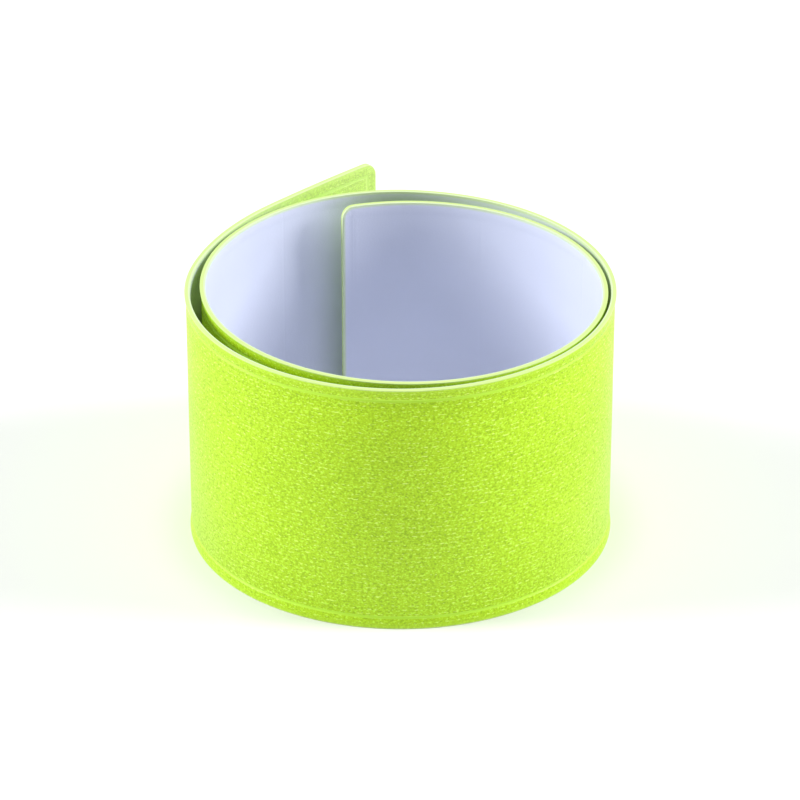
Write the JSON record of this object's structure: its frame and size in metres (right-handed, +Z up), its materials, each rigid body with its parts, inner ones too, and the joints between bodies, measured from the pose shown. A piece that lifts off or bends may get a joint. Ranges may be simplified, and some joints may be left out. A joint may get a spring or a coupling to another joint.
{
  "type": "reflective snap band",
  "caption": "Coiled self-winding wrist band: a bistable spring steel strip sealed between a fluorescent reflective film and a white vinyl film; it uncoils flat.",
  "frame": {"origin": "on the axis of the coil's inner turn, level with the lower long edge that it stands on", "axes": "+Z up along the coil's axis, across the band's width; +Y towards the back, where the free inner end and the outer flap lie; +X to the right seen from the front"},
  "size_m": [0.0641, 0.0755, 0.04],
  "materials": {
    "front_film": "fluorescent yellow-green reflective vinyl with a fine embossed grain",
    "spring_steel": "rolled bright spring steel",
    "back_film": "satin white vinyl"
  },
  "bodies": {
    "slice_01": {"front_film_01": "front_film", "steel_01": "spring_steel", "back_film_01": "back_film"},
    "slice_02": {"front_film_02": "front_film", "steel_02": "spring_steel", "back_film_02": "back_film"},
    "slice_03": {"front_film_03": "front_film", "steel_03": "spring_steel", "back_film_03": "back_film"},
    "slice_04": {"front_film_04": "front_film", "steel_04": "spring_steel", "back_film_04": "back_film"},
    "slice_05": {"front_film_05": "front_film", "steel_05": "spring_steel", "back_film_05": "back_film"},
    "slice_06": {"front_film_06": "front_film", "steel_06": "spring_steel", "back_film_06": "back_film"},
    "slice_07": {"front_film_07": "front_film", "steel_07": "spring_steel", "back_film_07": "back_film"},
    "slice_08": {"front_film_08": "front_film", "steel_08": "spring_steel", "back_film_08": "back_film"},
    "slice_09": {"front_film_09": "front_film", "steel_09": "spring_steel", "back_film_09": "back_film"},
    "slice_10": {"front_film_10": "front_film", "steel_10": "spring_steel", "back_film_10": "back_film"},
    "slice_11": {"front_film_11": "front_film", "steel_11": "spring_steel", "back_film_11": "back_film"},
    "slice_12": {"front_film_12": "front_film", "steel_12": "spring_steel", "back_film_12": "back_film"},
    "slice_13": {"front_film_13": "front_film", "steel_13": "spring_steel", "back_film_13": "back_film"},
    "slice_14": {"front_film_14": "front_film", "steel_14": "spring_steel", "back_film_14": "back_film"},
    "slice_15": {"front_film_15": "front_film", "steel_15": "spring_steel", "back_film_15": "back_film"},
    "slice_16": {"front_film_16": "front_film", "steel_16": "spring_steel", "back_film_16": "back_film"},
    "slice_17": {"front_film_17": "front_film", "steel_17": "spring_steel", "back_film_17": "back_film"},
    "slice_18": {"front_film_18": "front_film", "steel_18": "spring_steel", "back_film_18": "front_film"}
  },
  "joints": [
    {"name": "uncoil", "type": "hinge", "parent": "slice_09", "child": "slice_10", "pos_m": [0.00097, 0.0332, 0.02], "axis": [0, 0, 1], "range_deg": [0, 42.63], "stiffness_Nm_per_rad": 0.02},
    {"name": "bend_10_11", "type": "hinge", "parent": "slice_10", "child": "slice_11", "pos_m": [0.02093, 0.02381, 0.02], "axis": [0, 0, 1], "range_deg": [0, 39.05]},
    {"name": "bend_11_12", "type": "hinge", "parent": "slice_11", "child": "slice_12", "pos_m": [0.03051, 0.00393, 0.02], "axis": [0, 0, 1], "range_deg": [0, 39.65]},
    {"name": "bend_12_13", "type": "hinge", "parent": "slice_12", "child": "slice_13", "pos_m": [0.02522, -0.01746, 0.02], "axis": [0, 0, 1], "range_deg": [0, 40.25]},
    {"name": "bend_13_14", "type": "hinge", "parent": "slice_13", "child": "slice_14", "pos_m": [0.00735, -0.03037, 0.02], "axis": [0, 0, 1], "range_deg": [0, 40.25]},
    {"name": "bend_14_15", "type": "hinge", "parent": "slice_14", "child": "slice_15", "pos_m": [-0.01463, -0.02868, 0.02], "axis": [0, 0, 1], "range_deg": [0, 40.25]},
    {"name": "bend_15_16", "type": "hinge", "parent": "slice_15", "child": "slice_16", "pos_m": [-0.03031, -0.01319, 0.02], "axis": [0, 0, 1], "range_deg": [0, 40.25]},
    {"name": "bend_16_17", "type": "hinge", "parent": "slice_16", "child": "slice_17", "pos_m": [-0.03227, 0.00877, 0.02], "axis": [0, 0, 1], "range_deg": [0, 34.08]},
    {"name": "bend_17_18", "type": "hinge", "parent": "slice_17", "child": "slice_18", "pos_m": [-0.02151, 0.02819, 0.02], "axis": [0, 0, 1], "range_deg": [0, 16.2]},
    {"name": "bend_09_08", "type": "hinge", "parent": "slice_09", "child": "slice_08", "pos_m": [-0.01996, 0.02663, 0.02], "axis": [0, 0, -1], "range_deg": [0, 43.3]},
    {"name": "bend_08_07", "type": "hinge", "parent": "slice_08", "child": "slice_07", "pos_m": [-0.03074, 0.00741, 0.02], "axis": [0, 0, -1], "range_deg": [0, 40.39]},
    {"name": "bend_07_06", "type": "hinge", "parent": "slice_07", "child": "slice_06", "pos_m": [-0.02649, -0.01422, 0.02], "axis": [0, 0, -1], "range_deg": [0, 40.39]},
    {"name": "bend_06_05", "type": "hinge", "parent": "slice_06", "child": "slice_05", "pos_m": [-0.00924, -0.02794, 0.02], "axis": [0, 0, -1], "range_deg": [0, 42.13]},
    {"name": "bend_05_04", "type": "hinge", "parent": "slice_05", "child": "slice_04", "pos_m": [0.0127, -0.02655, 0.02], "axis": [0, 0, -1], "range_deg": [0, 43.86]},
    {"name": "bend_04_03", "type": "hinge", "parent": "slice_04", "child": "slice_03", "pos_m": [0.02755, -0.01035, 0.02], "axis": [0, 0, -1], "range_deg": [0, 43.86]},
    {"name": "bend_03_02", "type": "hinge", "parent": "slice_03", "child": "slice_02", "pos_m": [0.02703, 0.01163, 0.02], "axis": [0, 0, -1], "range_deg": [0, 43.86]},
    {"name": "bend_02_01", "type": "hinge", "parent": "slice_02", "child": "slice_01", "pos_m": [0.01143, 0.02712, 0.02], "axis": [0, 0, -1], "range_deg": [0, 43.86]}
  ],
  "couplings": [
    {"joint": "bend_10_11", "follows": "uncoil", "ratio": 0.91602},
    {"joint": "bend_11_12", "follows": "uncoil", "ratio": 0.9301},
    {"joint": "bend_12_13", "follows": "uncoil", "ratio": 0.94417},
    {"joint": "bend_13_14", "follows": "uncoil", "ratio": 0.94417},
    {"joint": "bend_14_15", "follows": "uncoil", "ratio": 0.94417},
    {"joint": "bend_15_16", "follows": "uncoil", "ratio": 0.94417},
    {"joint": "bend_16_17", "follows": "uncoil", "ratio": 0.79932},
    {"joint": "bend_17_18", "follows": "uncoil", "ratio": 0.38001},
    {"joint": "bend_09_08", "follows": "uncoil", "ratio": 1.0157},
    {"joint": "bend_08_07", "follows": "uncoil", "ratio": 0.94745},
    {"joint": "bend_07_06", "follows": "uncoil", "ratio": 0.94745},
    {"joint": "bend_06_05", "follows": "uncoil", "ratio": 0.98815},
    {"joint": "bend_05_04", "follows": "uncoil", "ratio": 1.0289},
    {"joint": "bend_04_03", "follows": "uncoil", "ratio": 1.0289},
    {"joint": "bend_03_02", "follows": "uncoil", "ratio": 1.0289},
    {"joint": "bend_02_01", "follows": "uncoil", "ratio": 1.0289}
  ]
}
